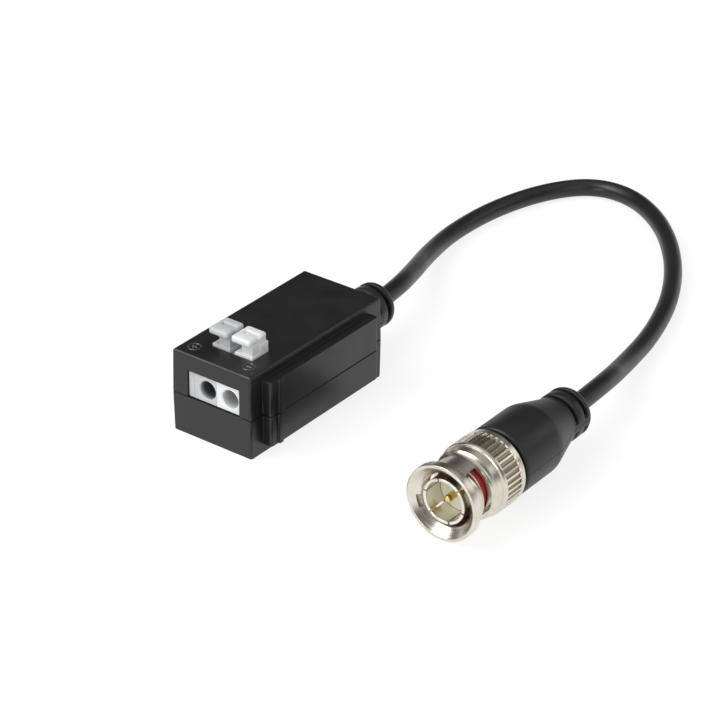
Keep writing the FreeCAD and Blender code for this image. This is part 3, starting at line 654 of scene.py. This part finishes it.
# The housing: two shells of black ABS with a fine satin grain, closed along the lip at mid height. A
# raised rail with one bead runs along the right side for the fingers.
def softened(node, name, material, slot, width, seam=0.0, clamp=False):
    """The CAD piece with its hard edges rounded: its triangles are merged and joined into flat
    faces, and every edge sharper than 30 degrees gets a narrow bevel, clamped where bevels would
    meet if clamp is set. Weighted normals keep the large faces flat. A seam moves the rim at the
    parting's height back by that much, so that the two shells meet in a fine groove."""
    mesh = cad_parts[node].data.copy()
    mesh.name = name
    work = bmesh.new()
    work.from_mesh(mesh)
    bmesh.ops.remove_doubles(work, verts=work.verts, dist=2e-6)
    bmesh.ops.dissolve_limit(
        work, angle_limit=math.radians(1.0), verts=work.verts, edges=work.edges, delimit={"NORMAL"}
    )
    for vertex in work.verts:
        if seam and abs(vertex.co.z - parting * mm) < 1e-5:
            vertex.co.z += seam * mm
    work.to_mesh(mesh)
    work.free()
    mesh.materials.clear()
    mesh.materials.append(material)
    mesh.polygons.foreach_set("use_smooth", np.ones(len(mesh.polygons), bool))
    made = put(name, mesh)
    bevel = made.modifiers.new("edge_rounding", "BEVEL")
    bevel.width = width * mm
    bevel.segments = 2
    bevel.limit_method = "ANGLE"
    bevel.angle_limit = math.radians(30)
    bevel.use_clamp_overlap = clamp
    weighted = made.modifiers.new("flat_faces", "WEIGHTED_NORMAL")
    weighted.weight = 100
    weighted.keep_sharp = True
    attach(made, "housing")
    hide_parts(node)


black_abs = moulded("black_abs", (0.0075, 0.0075, 0.008), 0.36, 5200.0, 0.22)
softened("upper_shell", "upper_shell_soft", black_abs, "black_plastic", 0.1, 0.08)
softened("lower_shell", "lower_shell_soft", black_abs, "black_plastic", 0.1, -0.08)


# The polarity marks: a plus and a minus, each in a ring, raised a little on the roof in front of the
# buttons. They are moulded with the shell. Their finish is smoother than its grain, and their colour
# a little paler than the shell's black: a painted highlight for the light their edges catch.
roof, sunk = 16.4, 0.02
foot = roof - sunk
mark_radius, mark_width, mark_lift, bar_length = 1.12, 0.42, 0.13, 1.4


def raised_bar(centre, turn):
    """Low rounded bar on the roof: a share t runs from the foot to the ridge, the outline's half length
    and half width both shrink by t half widths, and the height is the lift times sin squared of 90 t.
    A middle point closes the bar below."""
    u = full_turn(40)
    t = np.linspace(0, 1, 9)[:, None]
    x = np.sign(np.cos(u)) * np.abs(np.cos(u)) ** 0.35 * (bar_length - t * mark_width) / 2
    y = np.sign(np.sin(u)) * np.abs(np.sin(u)) ** 0.35 * (1 - t) * mark_width / 2
    z = foot + (mark_lift + sunk) * np.sin(t * math.pi / 2) ** 2 + 0 * u
    x, y, z = (np.concatenate([low + 0 * u[None], rows]) for low, rows in ((0, x), (0, y), (foot, z)))
    px = centre[0] + x * math.cos(turn) - y * math.sin(turn)
    py = centre[1] + x * math.sin(turn) + y * math.cos(turn)
    points = np.stack((px, py, z), axis=-1) * mm
    return points, ring_faces(*points.shape[:2], False)


def raised_ring(centre):
    """Low rounded ring on the roof: across runs from -1 to 1 over the section, the reach is the radius
    plus across half widths, and the height is the lift times cos squared of 90 across. The rows
    close from the inner foot to the outer one."""
    u = full_turn(64)
    across_ring = np.linspace(1, -1, 13)[:, None]
    reach = mark_radius + mark_width / 2 * across_ring
    z = foot + (mark_lift + sunk) * np.cos(across_ring * math.pi / 2) ** 2 + 0 * u
    points = np.stack(np.broadcast_arrays(
        centre[0] + reach * np.cos(u), centre[1] + reach * np.sin(u), z
    ), axis=-1) * mm
    return points, ring_faces(*points.shape[:2], True)


# The marks' paler colour is a painted highlight.
glossy_abs_painted_highlight = moulded("glossy_abs_painted_highlight", (0.05, 0.05, 0.052), 0.28, 5200.0, 0.05)
for name, centre, bars in (
    ("plus_mark", (-6.05, -15.9), (0.0, math.pi / 2)), ("minus_mark", (6.0, -15.6), (0.0,))
):
    forms = [raised_ring(centre)] + [raised_bar(centre, turn) for turn in bars]
    solid(name, *joined(forms), glossy_abs_painted_highlight, "housing", "black_plastic")


# The terminal: two screwless modules side by side, the left one grey and the right one white, each with
# a round wire entry in front and a push button on top that opens its clamp.
entry_height, entry_front, entry_deep = 10.35, -18.4, -17.2
end_plate_x = -4.16
joint_shade = 0.4


def build_entry(nodes, given):
    """Wire entry and joint line: a mask for a painted shade that is 1 within the bore's radius behind
    the nose, deepening over its first millimetre, and another that is 1 on the thin line of the end plate's
    joint."""
    object_place = nodes.add("ShaderNodeTexCoord").outputs["Object"]
    place = nodes.add("ShaderNodeSeparateXYZ", {"Vector": object_place}).outputs
    off = nodes.add("ShaderNodeCombineXYZ", {
        "X": nodes.math("SUBTRACT", place["X"], given["Bore X"]),
        "Z": nodes.math("SUBTRACT", place["Z"], entry_height * mm),
    }).outputs["Vector"]
    within = nodes.ramp(nodes.vector("LENGTH", off), 1.78 * mm, 1.86 * mm, 1.0, 0.0)
    deep = nodes.ramp(place["Y"], entry_front * mm, entry_deep * mm)
    away = nodes.math("ABSOLUTE", nodes.math("SUBTRACT", place["X"], end_plate_x * mm))
    joint = nodes.ramp(away, 0.03 * mm, 0.07 * mm, 1.0, 0.0)
    return {"Bore": nodes.math("MULTIPLY", within, deep), "Joint": joint}


wire_entry = effect("wire_entry", [("Bore X", "NodeSocketFloat", 0.0)], [
    ("Bore", "NodeSocketFloat"), ("Joint", "NodeSocketFloat")
], build_entry)


def nylon(name, colour, bore_x, shade):
    """Nylon with the moulded skin, with a painted shade down its wire entry, as deep as the shade argument,
    and darker along the joint line.
    """
    def tint(nodes, plain_colour):
        entry = nodes.add("ShaderNodeGroup", {"Bore X": bore_x * mm}, node_tree=wire_entry).outputs
        # Painted shade on the wire entry's walls, deepening towards the inside.
        down = nodes.math("MULTIPLY", entry["Bore"], shade)
        dark = nodes.math("MAXIMUM", down, nodes.math("MULTIPLY", entry["Joint"], joint_shade))
        return nodes.mixed(dark, plain_colour, (0.03, 0.03, 0.032, 1.0))

    return moulded(name, colour, 0.38, 2600.0, 0.12, tint=tint, Subsurface_Weight=0.05)


# The last number is the share of painted shade down the wire entry.
grey_nylon = nylon("grey_nylon", (0.55, 0.555, 0.56), -1.13, 0.88)
white_nylon = nylon("white_nylon", (0.8, 0.8, 0.8), 3.95, 0.3)
for side, finish, slot in (("left", grey_nylon, "grey_plastic"), ("right", white_nylon, "white_plastic")):
    softened(f"terminal_module_{side}", f"terminal_{side}_soft", finish, slot, 0.08, clamp=True)


# The push buttons: nylon mouldings, each a plate and block in the well, a neck, a cheek and a soft cap
# whose top is parted by a slot that is open at the right, for the tip of a screwdriver.
plate_width = 3.95
cap_foot, cap_top, slot_floor = 18.85, 20.2, 19.7


def rounded_block(low, high, radius):
    """Block with rounded edges. Each point is the corner of a block that is smaller by the radius,
    plus the radius times a unit vector (cos v cos u, cos v sin u, sin v); u steps through the four
    corners and v from the bottom to the top. A centre point closes each end."""
    steps = 5
    low, high = np.array(low, float), np.array(high, float)
    centre, half = (low + high) / 2, (high - low) / 2 - radius
    u = np.concatenate([np.linspace(q, q + 1, steps + 1) * math.pi / 2 for q in range(4)])
    sx = np.repeat([1, -1, -1, 1], steps + 1)
    sy = np.repeat([1, 1, -1, -1], steps + 1)
    v = np.concatenate([np.linspace(-1, 0, steps + 1), np.linspace(0, 1, steps + 1)]) * math.pi / 2
    sz = np.repeat([-1, 1], steps + 1)[:, None]
    x = centre[0] + sx * half[0] + radius * np.cos(v)[:, None] * np.cos(u)
    y = centre[1] + sy * half[1] + radius * np.cos(v)[:, None] * np.sin(u)
    z = centre[2] + sz * half[2] + radius * np.sin(v)[:, None] + 0 * u
    grid = np.stack([x, y, z], axis=-1)
    ends = [np.broadcast_to([centre[0], centre[1], h], grid[:1].shape) for h in (low[2], high[2])]
    points = np.concatenate([ends[0], grid, ends[1]]) * mm
    return points, ring_faces(*points.shape[:2], False)


for side, right, finish, slot in (
    ("left", -0.08, grey_nylon, "grey_plastic"), ("right", 5.0, white_nylon, "white_plastic")
):
    left = right - plate_width
    cap_left, cap_right = left - 0.4, left + 3.85
    forms = [rounded_block(low, high, radius) for low, high, radius in (
        ((left, -13.5, 13.8), (right, -8.9, 16.8), 0.1),
        ((left + 1.27, -13.15, 16.5), (left + 3.77, -9.3, 19.4), 0.16),
        ((right - 0.8, -11.3, 16.5), (right, -8.9, 18.4), 0.18),
        ((cap_left, -14.1, cap_foot), (cap_right, -11.6, cap_top), 0.5),
        ((cap_left, -11.0, cap_foot), (cap_right, -9.1, cap_top), 0.55),
        ((cap_left, -12.4, cap_foot), (cap_left + 1.0, -10.2, cap_top), 0.48),
        ((cap_left + 0.05, -12.6, cap_foot), (cap_right - 0.05, -10.2, slot_floor), 0.3),
    )]
    solid(
        f"push_button_{side}_soft", *joined(forms), finish, f"button_{side}", slot,
        (f"push_button_{side}",), 50.0,
    )


# Inside the housing: a glass-epoxy board with a ferrite ring that carries two windings, a surge part,
# two matching resistors and a capacitor, and in each module a tinned bar and a spring steel clamp.
tin = turned("dull_tin", (0.62, 0.62, 0.6), 0.36, 0.1)
board_green = moulded("board_laminate", (0.02, 0.12, 0.05), 0.35, 3000.0, 0.1, Coat_Weight=0.4)
ferrite = moulded("grey_ferrite", (0.05, 0.05, 0.052), 0.5, 5000.0, 0.4)
enamel = moulded("enamelled_wire", (0.34, 0.08, 0.02), 0.3, 2000.0, 0.05, Metallic=0.8)
chip_black = moulded("chip_epoxy", (0.015, 0.015, 0.016), 0.5, 6000.0, 0.3)
chip_tan = moulded("chip_ceramic", (0.42, 0.3, 0.18), 0.4, 4000.0, 0.2)
finished(tin, "contact_bar_left", "contact_bar_right", "clamp_spring_left", "clamp_spring_right")
finished(board_green, "circuit_board")
finished(ferrite, "transformer_core")
finished(enamel, "winding_line_side", "winding_coax_side")
finished(chip_black, "surge_suppressor", "chip_resistors")
finished(chip_tan, "chip_capacitor")
finished(jacket_vinyl, "cord_inner_end")
